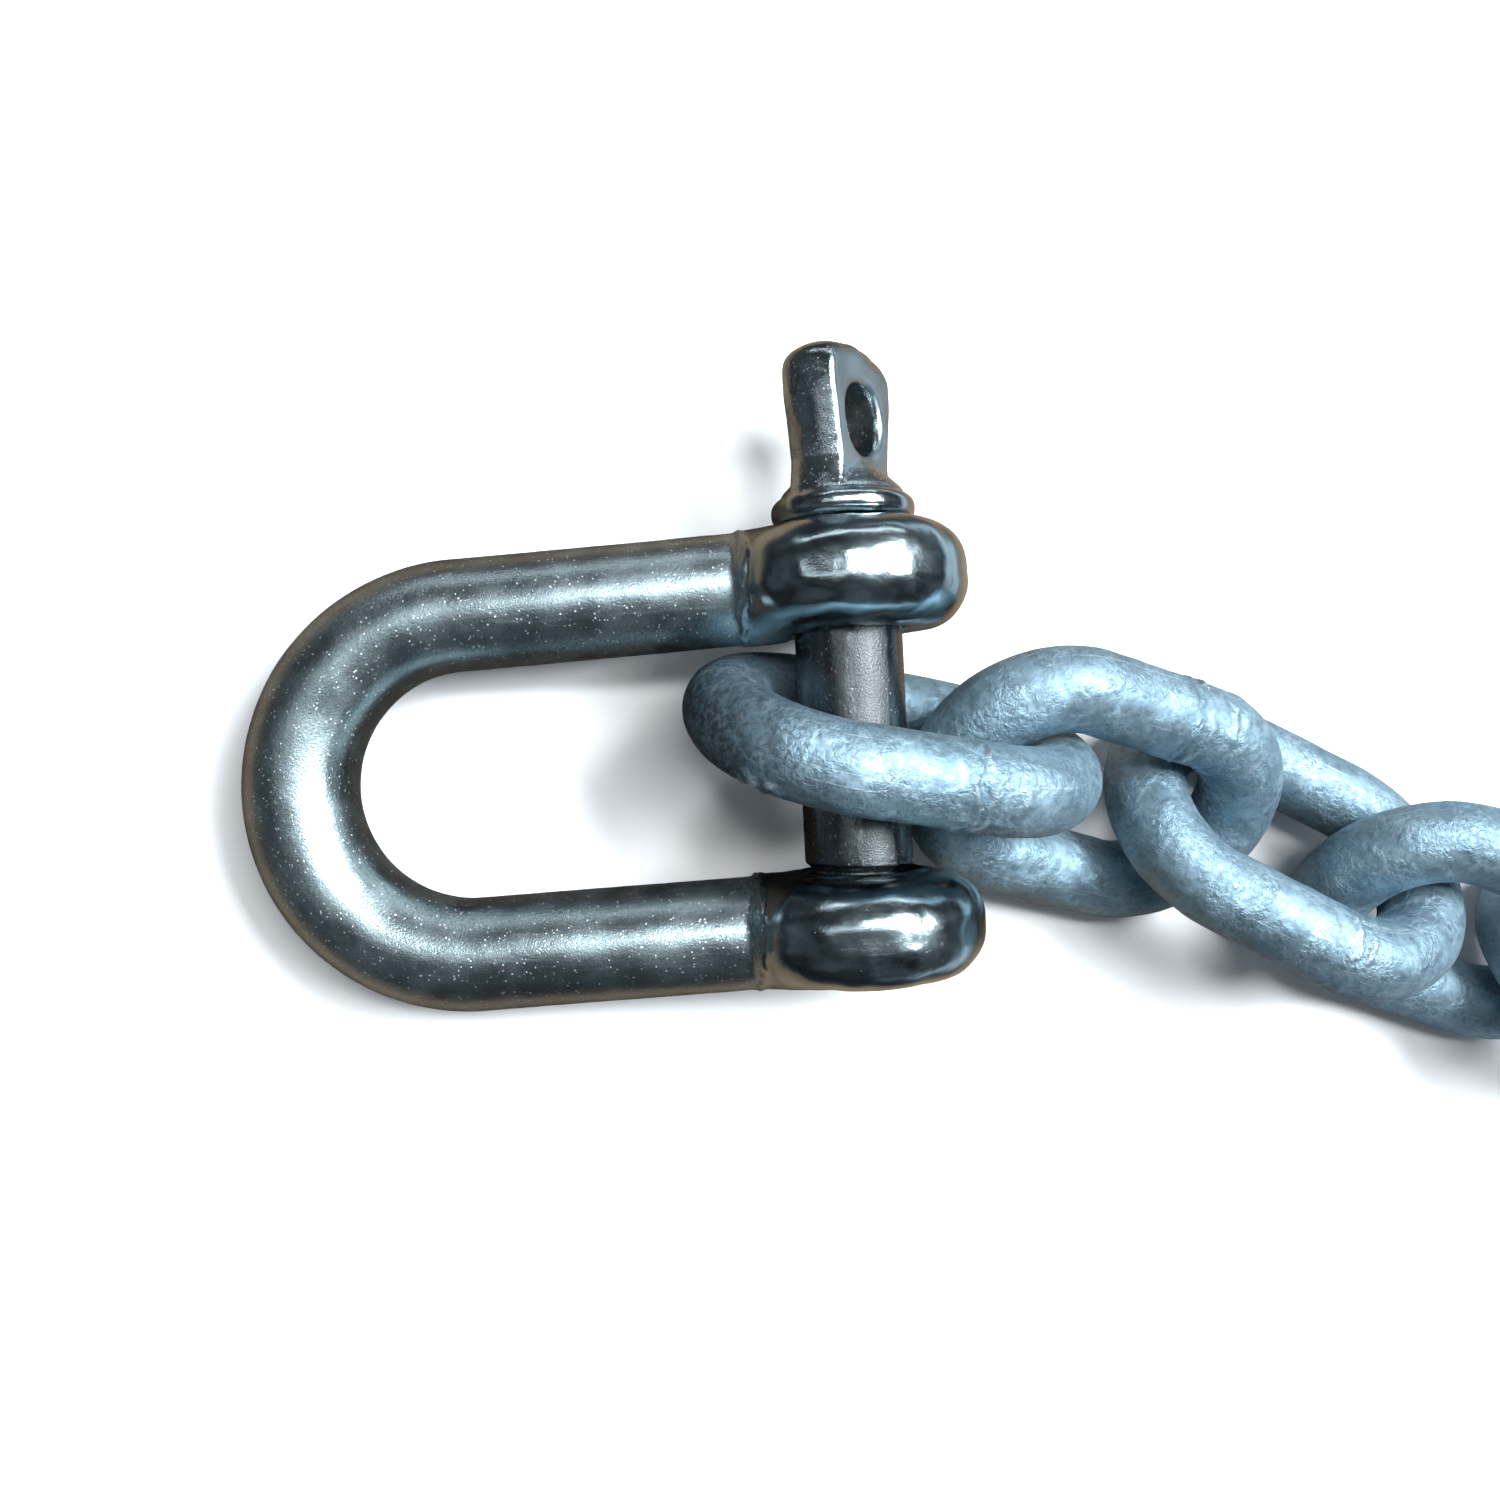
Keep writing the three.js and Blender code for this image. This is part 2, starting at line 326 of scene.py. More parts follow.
def polished_steel(name, tint, pit_depth):
    """Tumbled stainless steel: soft reflections, fine pits coloured near white as painted glints, and
    faint lines along the bar.

    On the mesh, coarse is grainy, satin is less shiny and above 1.2 colours the eye's flats lighter as
    painted sheen, and the dark-shank attribute is painted shade, colouring the turned shank darker to
    dim its reflections.
    """
    r = Recipe(bpy.data.materials.new(name))
    place = r.node("ShaderNodeTexCoord").outputs["Object"]
    along = r.attribute("along", "Vector")
    coarse = r.attribute("coarse")
    satin_and_painted_sheen = r.attribute("satin_and_painted_sheen")
    clouds = r.noise(place, 260, 3)
    blotches = r.noise(place, 700, 4, 0.6)
    grain = r.noise(place, 5200, 2, 0.7)
    pits = r.ramp(r.cells(place, 2500), 0.13, 0.30, 1.0, 0.0)
    pits = r.math("MULTIPLY", pits, r.ramp(r.noise(place, 1300, 2), 0.46, 0.58))
    pits = r.math("MULTIPLY", pits, r.ramp(coarse, 0.0, 0.4, 0.2, 1.0))
    lines = r.noise(r.stretch(along, (90, 2600, 2600)), 1.0, 3, 0.6)
    rough = r.ramp(clouds, 0.3, 0.7, 0.14, 0.22)
    rough = r.math("ADD", rough, r.math("MULTIPLY", pits, 0.18))
    rough = r.math("ADD", rough, r.ramp(lines, 0.5, 0.8, 0.0, 0.08))
    rough = r.math("ADD", rough, r.math("MULTIPLY", coarse, 0.15))
    rough = r.math("ADD", rough, r.ramp(satin_and_painted_sheen, 0.0, 1.6, 0.0, 0.13))
    dark = tuple(c * 0.80 for c in tint) + (1.0,)
    light = tuple(min(c * 1.10, 1.0) for c in tint) + (1.0,)
    colour = r.mix(r.ramp(clouds, 0.35, 0.65), dark, light)
    flecks = r.ramp(r.noise(place, 3400, 1), 0.56, 0.66, 0.0, 0.4)
    flecks = r.math("MULTIPLY", flecks, r.ramp(coarse, 0.0, 0.5))
    colour = r.mix(flecks, colour, opaque(0.22, 0.24, 0.27))
    painted_shade = r.attribute("painted_shade")
    # Painted shade: the turned shank, fully on its strip, is coloured nearly black to dim its
    # reflections.
    colour = r.mix(r.math("MULTIPLY", painted_shade, 0.90), colour, opaque(0.050, 0.052, 0.053))
    # Painted glints: the pits are coloured near white so they sparkle under any light, fewer on the
    # darkened shank.
    painted_glint = r.math("MULTIPLY", pits, r.ramp(painted_shade, 0.0, 1.0, 0.85, 0.22))
    colour = r.mix(painted_glint, colour, opaque(0.93, 0.96, 0.98))
    # Painted sheen: where the satin attribute passes 1.2, on the eye's flats, the colour is lighter to
    # stand in for the light the flats catch.
    colour = r.mix(r.ramp(satin_and_painted_sheen, 1.2, 1.5, 0.0, 0.7), colour, opaque(0.44, 0.56, 0.61))
    height = r.math("SUBTRACT", r.math("MULTIPLY", lines, 0.35), pits)
    height = r.math("ADD", height, r.math("MULTIPLY", grain, 0.55))
    height = r.math("ADD", height, r.math("MULTIPLY", r.math("MULTIPLY", grain, coarse), 2.4))
    normal = r.relief(height, pit_depth)
    normal = r.relief(blotches, 0.03, normal)
    return r.finish(Base_Color=colour, Metallic=1.0, Roughness=rough, Normal=normal)


def zinc(name):
    """Hot-dip zinc: blue-grey, crumpled and finely crystalline, duller in soft patches."""
    r = Recipe(bpy.data.materials.new(name))
    place = r.node("ShaderNodeTexCoord").outputs["Object"]
    along = r.attribute("along", "Vector")
    clouds = r.noise(place, 170, 4, 0.55)
    patches = r.noise(place, 420, 4, 0.6, 0.8)
    crumple = r.noise(place, 1700, 4, 0.62, 0.6)
    spangle = r.cells(place, 1700, "Color")
    spangle = r.node("ShaderNodeSeparateColor", {0: spangle}).outputs[0]
    flecks = r.ramp(r.noise(place, 2600, 3, 0.7), 0.62, 0.72)
    scratches = r.noise(r.stretch(along, (70, 2100, 2100)), 1.0, 3, 0.6)
    scratches = r.ramp(scratches, 0.6, 0.74)
    wear_and_glint = r.attribute("wear_and_glint")
    colour = r.mix(r.ramp(clouds, 0.3, 0.7), opaque(0.165, 0.265, 0.33), opaque(0.27, 0.40, 0.485))
    colour = r.mix(r.ramp(patches, 0.5, 0.72, 0.0, 0.4), colour, opaque(0.40, 0.55, 0.635))
    colour = r.mix(r.math("MULTIPLY", spangle, 0.26), colour, opaque(0.25, 0.34, 0.39))
    colour = r.mix(r.ramp(crumple, 0.34, 0.52, 0.5, 0.0), colour, opaque(0.12, 0.17, 0.205))
    colour = r.mix(r.math("MULTIPLY", flecks, 0.5), colour, opaque(0.17, 0.23, 0.27))
    colour = r.mix(r.math("MULTIPLY", scratches, 0.35), colour, opaque(0.62, 0.72, 0.77))
    # Darker spots at listed places, stronger where the crumple noise is low.
    darken_factor = r.math("MULTIPLY", r.attribute("darker_spots"), r.ramp(crumple, 0.40, 0.62, 1.0, 0.5))
    colour = r.mix(darken_factor, colour, opaque(0.06, 0.085, 0.10))
    # Lighter, smoother spots on the weld ridges and at listed places: partly wear, partly painted glint.
    colour = r.mix(r.math("MULTIPLY", wear_and_glint, 0.6), colour, opaque(0.80, 0.84, 0.86))
    rough = r.ramp(patches, 0.35, 0.7, 0.44, 0.60)
    rough = r.math("ADD", rough, r.math("MULTIPLY", spangle, 0.10))
    rough = r.math("SUBTRACT", rough, r.math("MULTIPLY", wear_and_glint, 0.2))
    smooth = r.ramp(r.noise(place, 260, 2), 0.40, 0.56, 0.18, 1.0)
    height = r.math("MULTIPLY", crumple, smooth)
    height = r.math("ADD", height, r.math("MULTIPLY", spangle, 0.05))
    height = r.math("ADD", height, r.math("MULTIPLY", scratches, 0.10))
    normal = r.relief(height, ZINC_RELIEF)
    return r.finish(Base_Color=colour, Metallic=0.8, Roughness=rough, Normal=normal)


# ---------------------------------------------------------------- shackle body


def arm_middle(x, side):
    """How far to the side the middle of an arm is, on its straight line from bow to ear."""
    share = (x + BOW_TO_PIN) / (BOW_TO_PIN - 1)
    at_bow = BOW_OFFSET + side * BOW_RADIUS
    return at_bow + np.clip(share, 0, 1) * (side * EAR_MIDDLE - at_bow)


def bar_distance(p):
    """Distance to the bent bar: half a ring, and an arm to each ear."""
    x, y, z = p.T
    from_bow = np.hypot(np.hypot(x + BOW_TO_PIN, y - BOW_OFFSET) - BOW_RADIUS, z)
    nearest = np.where(x < -BOW_TO_PIN, from_bow, 1e3)
    for side in (1, -1):
        start = np.array([-BOW_TO_PIN, BOW_OFFSET + side * BOW_RADIUS, 0.0])
        run = np.array([-1.0, side * EAR_MIDDLE, 0.0]) - start
        share = np.clip((p - start) @ run / (run @ run), 0, 1)
        nearest = np.minimum(nearest, np.linalg.norm(p - start - share[:, None] * run, axis=1))
    return nearest - BAR_RADIUS


def ear_distance(p, side):
    """Distance to a thick disc about the pin axis with a rounded rim."""
    outward = np.hypot(p[:, 0], p[:, 2]) - EAR_RADIUS
    sideways = np.abs(p[:, 1] - side * EAR_MIDDLE) - EAR_HALF
    return rounded_corner(outward, sideways, EAR_RIM)


def neck_distance(p, side):
    """Distance to the short flare between the round arm and the taller ear."""
    share = smooth_step(p[:, 0], NECK_START, NECK_END)
    tall = 1 + share * (NECK_TALL - 1)
    wide = 1 + share * (NECK_WIDE - 1)
    across = np.hypot((p[:, 1] - arm_middle(p[:, 0], side)) / wide, p[:, 2] / tall)
    round_part = (across - BAR_RADIUS) * np.minimum(tall, wide)
    ends = np.abs(p[:, 0] - (NECK_START + NECK_END) / 2) - (NECK_END - NECK_START) / 2
    return np.maximum(round_part, ends)


def shackle_distance(p):
    """Distance to the plain forging: the bar, the ears, the lip round the bore, and the bores."""
    whole = bar_distance(p)
    for side in (1, -1):
        whole = union(whole, union(neck_distance(p, side), ear_distance(p, side), 1.6), 0.6)
    from_axis = np.hypot(p[:, 0], p[:, 2])
    inner_face = EAR_HALF - EAR_MIDDLE
    lip = np.hypot(from_axis - LIP_RADIUS, p[:, 1] - inner_face) - LIP_THICKNESS
    whole = union(whole, lip, 0.3)
    thread = TAPPED_DEPTH * np.sin(2 * math.pi * (p[:, 1] / THREAD_PITCH - turn_share(p)))
    bore = EAR_BORE - np.where(p[:, 1] < 0, thread, 0) - from_axis
    return common(whole, bore, 0.7)


def shackle_relief(p):
    """The forging's unevenness: soft on the bar, dented on the ears, and a flash line between."""
    on_ear = smooth_step(p[:, 0], CREASE - 0.2, CREASE + 0.6)
    dents = layered_noise(p, [(0.13, 3.6, 5), (0.05, 1.7, 6), (0.012, 0.8, 8)])
    soft = layered_noise(p, [(0.035, 5.0, 1), (0.008, 1.2, 2)])
    ragged = layered_noise(p, [(0.35, 1.0, 4), (0.5, 4.0, 7)])
    offset = p[:, 0] - CREASE + ragged
    flash = (0.55 + 0.45 * smooth_noise(p, 0.8, 3)) * bump(offset, 0.26)
    step = 0.10 * smooth_step(-offset, -0.3, 0.3)
    return on_ear * dents + (1 - on_ear) * soft + 0.20 * flash + step


def turn_share(p):
    """The angle about the pin's axis, as a share of a whole turn."""
    return np.arctan2(p[:, 2], p[:, 0]) / (2 * math.pi)


def along_bar(p):
    """Distance along the bar, and the offset from its middle line."""
    x, y, z = p.T
    angle = np.arctan2(y - BOW_OFFSET, -(x + BOW_TO_PIN))
    quarter = math.pi / 2 * BOW_RADIUS
    in_bow = x < -BOW_TO_PIN
    length = np.where(in_bow, angle * BOW_RADIUS, np.sign(y) * (quarter + x + BOW_TO_PIN))
    outward = np.hypot(x + BOW_TO_PIN, y - BOW_OFFSET) - BOW_RADIUS
    outward = np.where(in_bow, outward, np.abs(y - BOW_OFFSET) - BOW_RADIUS)
    return np.stack([length, outward, z], 1) * MM


def shackle_body(matrix, material):
    low, high = (-56, -22, -12), (12, 21.5, 12)
    points, faces = surface_net(shackle_distance, shackle_relief, low, high, BODY_CELL)
    satin_and_painted_sheen = 1 - smooth_step(points[:, 0], CREASE - 0.2, CREASE + 0.8)
    rubbed = bump(points[:, 1] + EAR_MIDDLE + 2.2, 1.5) * bump(points[:, 0] + 1.0, 4.0)
    coarse = 0.45 * satin_and_painted_sheen + 0.2 * rubbed * (points[:, 2] > 6)
    plain = np.zeros(len(points))
    attributes = {"along": along_bar(points), "coarse": coarse, "satin_and_painted_sheen": satin_and_painted_sheen, "painted_shade": plain}
    return make_piece("shackle_forging", points, faces, matrix, attributes, material)


# ---------------------------------------------------------------- screw pin


def turned_distance(p):
    """Distance to the shank, its thread and its collar."""
    across = np.hypot(p[:, 0], p[:, 2])
    phase = (p[:, 1] / THREAD_PITCH - turn_share(p)) % 1.0
    groove = np.clip(1.25 - 2.5 * np.abs(phase - 0.5), 0, 1)
    reach = smooth_step(-p[:, 1], -THREAD_START - 1.2, -THREAD_START)
    lead_in = np.clip(THREAD_END + LEAD_IN - p[:, 1], 0, LEAD_IN)
    radius = SHANK_RADIUS - THREAD_DEPTH * groove * reach - lead_in
    middle = (THREAD_END + COLLAR_BASE + 1) / 2
    half = (COLLAR_BASE + 1 - THREAD_END) / 2
    shank = common(across - radius, np.abs(p[:, 1] - middle) - half, 0.3)
    half_collar = (COLLAR_TOP - COLLAR_BASE) / 2
    sideways = np.abs(p[:, 1] - COLLAR_BASE - half_collar) - half_collar
    return union(shank, rounded_corner(across - COLLAR_RADIUS, sideways, COLLAR_RIM), 0.5)


def eye_distance(p):
    """Distance to the domed eye with two flats, sloping shoulders and a hole."""
    across = np.hypot(p[:, 0], p[:, 2])
    up = (p[:, 1] - COLLAR_TOP) / (EYE_TOP - COLLAR_TOP)
    waist, wide = EYE_WAIST, EYE_RADIUS
    radius = np.interp(up, [-0.05, 0.0, 0.1, 0.22, 0.4, 0.6, 0.85],
                       [wide, wide - 0.1, waist + 0.25, waist, waist + 0.3, wide, wide + 0.1])
    barrel = rounded_corner(across - radius, p[:, 1] - EYE_TOP, EYE_DOME)
    barrel = np.maximum(barrel, COLLAR_TOP - 1 - p[:, 1])
    slope = np.interp(p[:, 1] - COLLAR_TOP, [-1.0, 0.4, 3.7], [6.0, 5.6, 2.3])
    cone = (across - slope) * 0.72
    body = common(barrel, union(np.abs(p[:, 2]) - EYE_HALF, cone, 0.35), 0.4)
    cap = p[:, 1] - EYE_TOP + p[:, 0] ** 2 / 26 + p[:, 2] ** 2 / 9
    body = common(body, 0.85 * cap, 1.3)
    hole = EYE_HOLE - np.hypot(p[:, 0], p[:, 1] - EYE_HOLE_MIDDLE)
    return common(body, hole, 0.9)


def pin_distance(p):
    """Distance to the whole pin; the eye is only worked out near its own end."""
    whole = turned_distance(p)
    upper = p[:, 1] > COLLAR_BASE - 1
    whole[upper] = union(whole[upper], eye_distance(p[upper]), 0.35)
    return whole


def pin_relief(p):
    """The forged eye and collar are a little uneven; the shank is turned."""
    forged = smooth_step(p[:, 1], COLLAR_BASE + 0.2, COLLAR_BASE + 1)
    on_barrel = smooth_step(EYE_HALF - np.abs(p[:, 2]), -0.1, 0.3)
    hammered = 0.05 * smooth_noise(p * [1, 0.6, 1], 1.3, 11) + 0.02 * smooth_noise(p, 0.6, 12)
    return forged * (0.03 * smooth_noise(p, 2.4, 13) + on_barrel * hammered)


def screw_pin(matrix, material):
    points, faces = surface_net(pin_distance, pin_relief, (-7, -21, -7), (7, 37.5, 7), PIN_CELL)
    across = np.hypot(points[:, 0], points[:, 2])
    facing = np.degrees(np.arctan2(points[:, 0], points[:, 2])) + EYE_TURN - STRIP_MIDDLE
    edge = STRIP_HALF + 4 * smooth_noise(points, 1.5, 14)
    on_shank = (across < SHANK_RADIUS + 0.1) & (points[:, 1] < COLLAR_BASE)
    strip = smooth_step(-np.abs(facing), -edge - 3, -edge + 3) * on_shank
    streaks = smooth_noise(points * [1, 0.15, 1], 1.2, 15)
    on_flat = (np.abs(points[:, 2]) > EYE_HALF - 0.3) & (points[:, 1] > COLLAR_TOP + 2)
    barrel_side = (points[:, 1] > COLLAR_TOP) & ~on_flat
    attributes = {
        "along": np.stack([points[:, 1], points[:, 0], points[:, 2]], 1) * MM,
        "coarse": np.maximum(strip, 0.3 * barrel_side) + 0.3 * on_shank * (1 - strip),
        # Painted sheen: the flats' 1.6 also colours them lighter; the strip's and shank's values only
        # set roughness.
        "satin_and_painted_sheen": 1.6 * on_flat + 1.15 * strip + 0.35 * on_shank * (1 - strip),
        # Painted shade: the shank is coloured darker, fully on its strip, to dim its reflections.
        "painted_shade": np.maximum(strip, on_shank * (0.8 + 0.2 * streaks)),
    }
    return make_piece("pin_forging", points, faces, matrix, attributes, material)


# ---------------------------------------------------------------- chain links


def node_points(node):
    """The corners of a CAD solid, each once."""
    points = np.array([v.co for v in frame["nodes"][node].data.vertices])
    return np.unique(points.round(6), axis=0)


def link_axes(node, onward):
    """The matrix of a CAD link: its middle, and axes along, across and through the link."""
    points = node_points(node)
    middle = points.mean(0)
    _, directions = np.linalg.eigh(np.cov((points - middle).T))
    long, wide = directions[:, 2], directions[:, 1]
    long = long * (1 if long @ onward > 0 else -1)
    wide = wide * (1 if wide[2] > 0 else -1)
    through = np.cross(long, wide)
    matrix = Matrix(np.stack([long, wide, through], 1).tolist()).to_4x4()
    matrix.translation = Vector(middle)
    return matrix


def link_grid(rings, sides):
    """Round wire bent to a link: distance round the link, angle round the wire, middle, outward."""
    crown = math.pi * CROWN_RADIUS
    total = 2 * crown + 4 * HALF_STRAIGHT
    round_link = np.linspace(0, total, rings, endpoint=False)
    middle = np.zeros((rings, 3))
    outward = np.zeros((rings, 3))
    for i, s in enumerate(round_link):
        if s < 2 * HALF_STRAIGHT:
            middle[i] = (HALF_STRAIGHT - s, CROWN_RADIUS, 0)
            outward[i] = (0, 1, 0)
        elif s < 2 * HALF_STRAIGHT + crown:
            angle = math.pi / 2 + (s - 2 * HALF_STRAIGHT) / CROWN_RADIUS
            outward[i] = (math.cos(angle), math.sin(angle), 0)
            middle[i] = CROWN_RADIUS * outward[i] - [HALF_STRAIGHT, 0, 0]
        elif s < 4 * HALF_STRAIGHT + crown:
            middle[i] = (s - 3 * HALF_STRAIGHT - crown, -CROWN_RADIUS, 0)
            outward[i] = (0, -1, 0)
        else:
            angle = -math.pi / 2 + (s - 4 * HALF_STRAIGHT - crown) / CROWN_RADIUS
            outward[i] = (math.cos(angle), math.sin(angle), 0)
            middle[i] = CROWN_RADIUS * outward[i] + [HALF_STRAIGHT, 0, 0]
    turn = np.linspace(0, 2 * math.pi, sides, endpoint=False)
    return round_link, turn, middle, outward, total


def on_weld_side(p):
    """True on the straight side of the link that carries the weld."""
    return p[:, 1] > CROWN_RADIUS - 1.5 * WIRE_RADIUS


def weld_rings(p, look, seed):
    """Height of the ragged ridges round the wire on both sides of each weld mark."""
    height = np.zeros(len(p))
    jagged = layered_noise(p, [(0.6, 1.3, seed + 120), (0.25, 0.5, seed + 240)])
    patchy = 0.55 + 0.6 * smooth_noise(p, 1.6, seed + 160)
    for place, strength in look["rings"]:
        offset = p[:, 0] - place + jagged
        ridge = bump(offset - 0.7, 0.26) + 0.8 * bump(offset + 0.6, 0.26) - 0.6 * bump(offset, 0.4)
        height += 0.30 * strength * ridge * patchy
    return height * on_weld_side(p)


def link_relief(p, turn, look, seed):
    """Height of the zinc and the weld over the plain wire, in millimetres."""
    height = layered_noise(p, [(0.06, 3.4, seed), (0.03, 1.3, seed + 40), (0.014, 0.5, seed + 80)])
    height += weld_rings(p, look, seed)
    for start, end, angle, strength in look["lines"]:
        within = smooth_step(p[:, 0], start - 1, start + 1)
        within *= smooth_step(-p[:, 0], -end - 1, -end + 1)
        wander = angle + 0.07 * smooth_noise(p, 3.5, seed + 200)
        gap = np.abs((turn - wander + math.pi) % (2 * math.pi) - math.pi) * WIRE_RADIUS
        height += strength * bump(gap, 0.3) * within * on_weld_side(p)
    for end, swing, turned, radius, strength in look["drips"]:
        height += strength * spot(p, end, swing, turned, radius)
    return height


def spot(p, end, swing, turned, radius):
    """A soft round spot on the wire at a crown: end -1 is toward the shackle, and 1 away from it.

    Swing is in degrees round the crown from its tip, turned in degrees round the wire from outward.
    """
    swing, turned = math.radians(swing), math.radians(turned)
    reach = CROWN_RADIUS + WIRE_RADIUS * math.cos(turned)
    x = end * (HALF_STRAIGHT + reach * math.cos(swing))
    middle = np.array([x, reach * math.sin(swing), WIRE_RADIUS * math.sin(turned)])
    return bump(np.linalg.norm(p - middle, axis=1), radius)


def chain_link(name, matrix, material, look, rings, sides, seed):
    """One link as a closed grid of rings round the wire."""
    round_link, turn, middle, outward, total = link_grid(rings, sides)
    normal = outward[:, None] * np.cos(turn)[:, None] + np.array([0, 0, 1.0]) * np.sin(turn)[:, None]
    plain = (middle[:, None] + WIRE_RADIUS * normal).reshape(-1, 3)
    normal = normal.reshape(-1, 3)
    all_turns = np.tile(turn, rings)
    height = link_relief(plain, all_turns, look, seed)
    points = plain + normal * height[:, None]
    ring = np.repeat(np.arange(rings), sides)
    step = np.tile(np.arange(sides), rings)
    next_ring, next_step = (ring + 1) % rings, (step + 1) % sides
    faces = np.stack([ring * sides + step, ring * sides + next_step,
                      next_ring * sides + next_step, next_ring * sides + step], 1)
    travelled = np.repeat(np.minimum(round_link, total - round_link), sides)
    along = np.stack([travelled, WIRE_RADIUS * np.cos(all_turns), WIRE_RADIUS * np.sin(all_turns)], 1)
    # Lighter spots on the weld ridges and at listed places: partly wear, partly painted glint.
    wear_and_glint = 0.5 * smooth_step(weld_rings(plain, look, seed), 0.08, 0.22)
    wear_and_glint = wear_and_glint + sum(spot(plain, *place) for place in look["wear_and_glint"])
    # Darker spots at listed places.
    darker_spots = np.zeros(len(plain)) + sum(spot(plain, *place) for place in look["darker_spots"])
    attributes = {
        "along": (along + 40.0 * seed) * MM,
        "wear_and_glint": np.clip(wear_and_glint, 0, 1),
        "darker_spots": np.clip(darker_spots, 0, 1),
    }
    return make_piece(name, points, faces, matrix, attributes, material)


# Rings: place along the weld side, strength. Lines: start, end, angle round the wire, height.
# Drips, lighter spots (partly wear, partly painted glint) and darker spots are spots: end, swing,
# turned, radius; a drip's height comes last.


def plain_look(rng):
    """A link like the rest: one weld mark and one die line, at places drawn at random."""
    ring = float(rng.uniform(-2, 4))
    line = (float(rng.uniform(-7, -2)), float(rng.uniform(2, 7)), float(rng.uniform(0.4, 2.2)), 0.08)
    return {"rings": [(ring, 0.8)], "lines": [line], "drips": [], "wear_and_glint": [], "darker_spots": []}


SPECIAL_LOOKS = {
    1: {
        "rings": [(3.2, 1.0), (6.6, 0.8)],
        "lines": [(-2.0, 7.0, 0.5, 0.12)],
        "drips": [
            (-1, 45, 42, 0.7, 0.50),
            (-1, 52, 36, 0.5, 0.40),
            (-1, 39, 50, 0.5, 0.38),
            (-1, 55, 48, 0.4, 0.30),
            (-1, 42, 31, 0.4, 0.34),
            (-1, 49, 56, 0.4, 0.30),
        ],
        "wear_and_glint": [(1, 33, 37, 1.3), (-1, 45, 42, 0.5), (-1, 52, 36, 0.4), (-1, 39, 50, 0.4)],
        "darker_spots": [(-1, 22, 25, 7.5), (-1, -15, 40, 6.5)],
    },
    2: {
        "rings": [(3.0, 1.0), (7.4, 0.7)],
        "lines": [(3.0, 8.0, 1.2, 0.10)],
        "drips": [],
        "wear_and_glint": [],
        "darker_spots": [],
    },
    3: {
        "rings": [(6.5, 1.0)],
        "lines": [(-7.0, 6.0, 1.9, 0.22)],
        "drips": [],
        "wear_and_glint": [(-1, 49, 55, 1.5)],
        "darker_spots": [],
    },
}


def chain(material):
    """All eighteen links; the three in the photograph are finer and have their own marks."""
    rng = np.random.default_rng(7)
    names = sorted(n for n in frame["nodes"] if n.startswith("chain_link_"))
    middles = np.array([node_points(n).mean(0) for n in names])
    onward = np.gradient(middles, axis=0)
    for number, node in enumerate(names, start=1):
        plain = plain_look(rng)
        look = SPECIAL_LOOKS.get(number, plain)
        fine = 1 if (number > NEAR_LINKS) else 2
        piece = chain_link(
            f"galvanised_link_{number:02d}",
            link_axes(node, onward[number - 1]),
            material,
            look,
            LINK_RINGS * fine,
            LINK_SIDES * fine,
            number,
        )
        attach(piece, node)
        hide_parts(node)


# ---------------------------------------------------------------- stage, lights and camera

CAMERA_PLACE = (-31.74, 0.2, 124.11)
CAMERA_ANGLES = (0.765, -11.342, -2.741)
CAMERA_LENS = 30.0
SENSOR_WIDTH = 36.0
FLOOR_SIZE = 6.0
FLOOR_DROP = 0.0002
EVEN_LIGHT = 0.16


def pale_floor():
    """A pale floor, which the metal sees as a brown table with a dark room beyond it."""
    bpy.ops.mesh.primitive_plane_add(size=FLOOR_SIZE, location=(0.1, 0, -FLOOR_DROP))
    floor = bpy.context.object
    floor.name = "studio_floor"
    r = Recipe(bpy.data.materials.new("studio_floor"))
    place = r.node("ShaderNodeNewGeometry").outputs["Position"]
    centred = r.node("ShaderNodeVectorMath", {0: place, 1: (0.022, 0, 0)}, operation="ADD")
    scaled = r.stretch(centred.outputs[0], (1 / 0.06, 1 / 0.05, 0))
    away = r.node("ShaderNodeVectorMath", {0: scaled}, operation="LENGTH").outputs["Value"]
    east = r.node("ShaderNodeSeparateXYZ", {0: place}).outputs["X"]
    beyond = r.mix(r.ramp(east, 0.03, 0.12), opaque(0.012, 0.016, 0.022), opaque(0.42, 0.46, 0.50))
    table = r.mix(r.ramp(away, 0.55, 0.85), opaque(0.05, 0.036, 0.027), opaque(0.23, 0.155, 0.10))
    table = r.mix(r.ramp(away, 0.95, 1.7), table, beyond)
    # Painted reflection: glossy rays see a brown table, darker near the shackle, and beyond it a dark
    # room that is lighter toward +X; the camera sees the even pale floor.
    reflected = r.node("ShaderNodeLightPath").outputs["Is Glossy Ray"]
    colour = r.mix(reflected, opaque(0.93, 0.93, 0.93), table)
    floor.data.materials.append(r.finish(Base_Color=colour, Roughness=0.9, Specular_IOR_Level=0.1))


def soft_light(name, place, size, energy, colour):
    """An area light that faces the shackle; place and size are in metres."""
    light = bpy.data.lights.new(name, "AREA")
    light.shape = "RECTANGLE"
    light.size, light.size_y = size
    light.energy = energy
    light.color = colour
    holder = bpy.data.objects.new(name, light)
    holder.location = place
    target = Vector((-0.01, 0, 0.01))
    holder.rotation_euler = (target - Vector(place)).to_track_quat("-Z", "Y").to_euler()
    bpy.context.scene.collection.objects.link(holder)


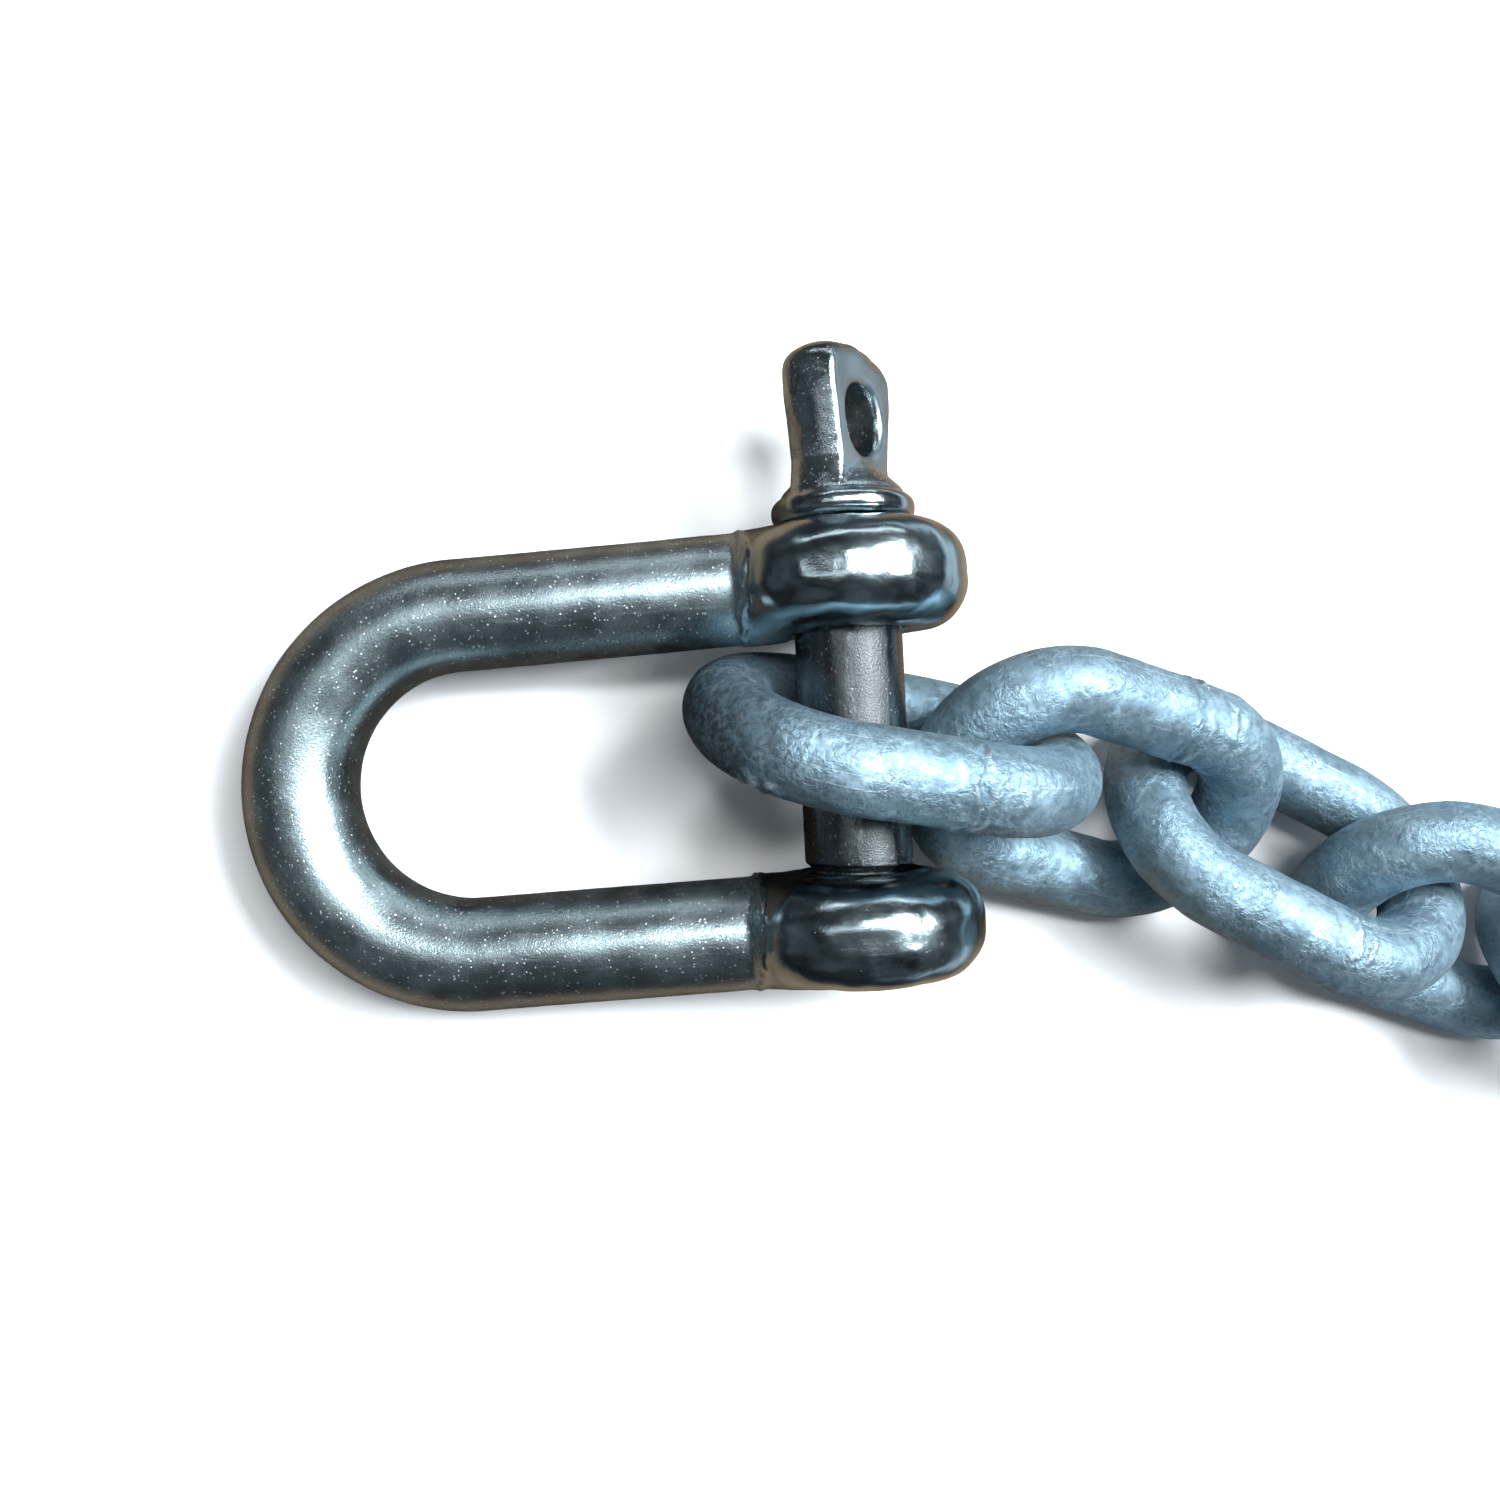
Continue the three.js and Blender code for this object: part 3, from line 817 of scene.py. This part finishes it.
def lights():
    """A broad key from the right, a strip above, and weak lights from the left and from behind."""
    soft_light("key_light", (0.30, 0.14, 0.52), (0.34, 0.22), 7.5, (0.93, 0.97, 1.0))
    soft_light("top_light", (0.0, 0.11, 0.52), (0.30, 0.06), 1.5, (0.94, 0.98, 1.0))
    soft_light("left_light", (-0.34, 0.06, 0.52), (0.06, 0.34), 0.15, (0.95, 0.98, 1.0))
    soft_light("back_light", (0.0, 0.62, 0.22), (0.9, 0.05), 0.7, (0.95, 0.98, 1.0))
    bpy.context.scene.view_settings.view_transform = "Standard"


def room():
    """Faint even light, and a room with darker and lighter parts for the metal to mirror."""
    r = Recipe(bpy.data.worlds.new("studio_world"))
    direction = r.node("ShaderNodeTexCoord").outputs["Generated"]
    mirrored = r.ramp(r.noise(direction, 2.6, 3, 0.6), 0.44, 0.66, 0.04, 0.20)
    reflected = r.node("ShaderNodeLightPath").outputs["Is Glossy Ray"]
    strength = r.node("ShaderNodeMix", {"Factor": reflected, "A": EVEN_LIGHT, "B": mirrored})
    strength = strength.outputs["Result"]
    bpy.context.scene.world = r.finish(Color=opaque(0.60, 0.68, 0.78), Strength=strength)


def camera():
    """The photograph's view, from just above the shackle."""
    data = bpy.data.cameras.new("camera")
    data.sensor_fit = "HORIZONTAL"
    data.sensor_width = SENSOR_WIDTH
    data.lens = CAMERA_LENS
    data.clip_start = 0.005
    holder = bpy.data.objects.new("camera", data)
    holder.location = Vector(CAMERA_PLACE) * MM
    holder.rotation_euler = Euler([math.radians(a) for a in CAMERA_ANGLES])
    bpy.context.scene.collection.objects.link(holder)
    bpy.context.scene.camera = holder


# ---------------------------------------------------------------- assembly


def assembly():
    """The shackle leans on the surface about the pin's axis; the chain takes its places from the CAD."""
    pin_joint = next(j for j in frame["joints"] if j["name"] == "pin_withdraw")
    pin_height = pin_joint["pos_m"][2] / MM
    middle = Matrix.Translation(Vector(pin_joint["pos_m"]))
    lean = math.asin((pin_height - BAR_RADIUS) / (BOW_TO_PIN + BOW_RADIUS))
    body = shackle_body(
        middle @ Matrix.Rotation(-lean, 4, "Y"),
        polished_steel("stainless", BODY_TINT, BODY_PITS),
    )
    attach(body, "shackle_body")
    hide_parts("shackle_body")
    pin = screw_pin(
        middle @ Matrix.Rotation(math.radians(EYE_TURN), 4, "Y"),
        polished_steel("stainless_pin", PIN_TINT, PIN_PITS),
    )
    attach(pin, "screw_pin")
    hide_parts("screw_pin")
    chain(zinc("galvanised"))


camera()
pale_floor()
lights()
room()
assembly()

bpy.context.view_layer.update()
